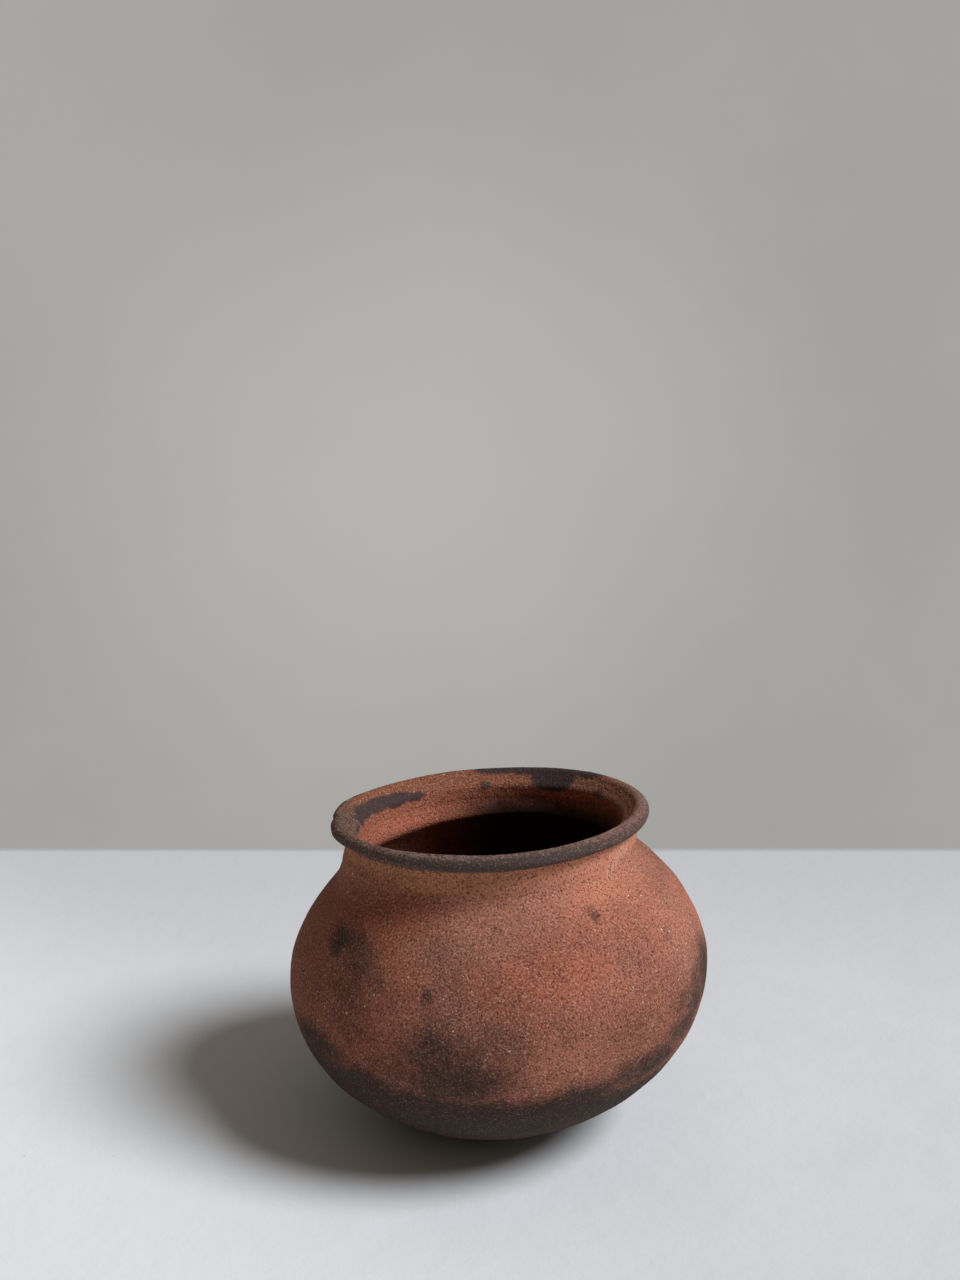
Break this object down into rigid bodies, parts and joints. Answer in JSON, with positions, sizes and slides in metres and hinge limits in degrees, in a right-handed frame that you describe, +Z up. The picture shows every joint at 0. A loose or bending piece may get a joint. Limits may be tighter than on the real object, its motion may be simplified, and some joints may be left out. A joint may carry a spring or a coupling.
{
  "type": "terracotta pot",
  "caption": "Round-bottomed hand-built clay pot with a full belly, a short neck and a flaring thick rim, leaning slightly on a worn resting flat.",
  "frame": {"origin": "on the floor, under the middle of the pot's bounding box; the pot stands on its worn flat", "axes": "+Z up, +X towards the side away from which the pot leans, -Y towards the side with the longer smoke-blackened stretch of rim"},
  "size_m": [0.2193, 0.22, 0.1686],
  "materials": {
    "fired_clay": "matt, low-fired sandy clay with light and dark grit, orange-red to brown with a few smoke marks",
    "smoked_clay": "matt, the same sandy clay blackened by smoke in patches"
  },
  "bodies": {
    "root": {"base_bowl": "smoked_clay", "lower_belly_band": "fired_clay", "upper_belly_band": "fired_clay", "shoulder_band": "fired_clay", "neck_collar": "fired_clay", "rim_lip": "smoked_clay"}
  },
  "joints": []
}
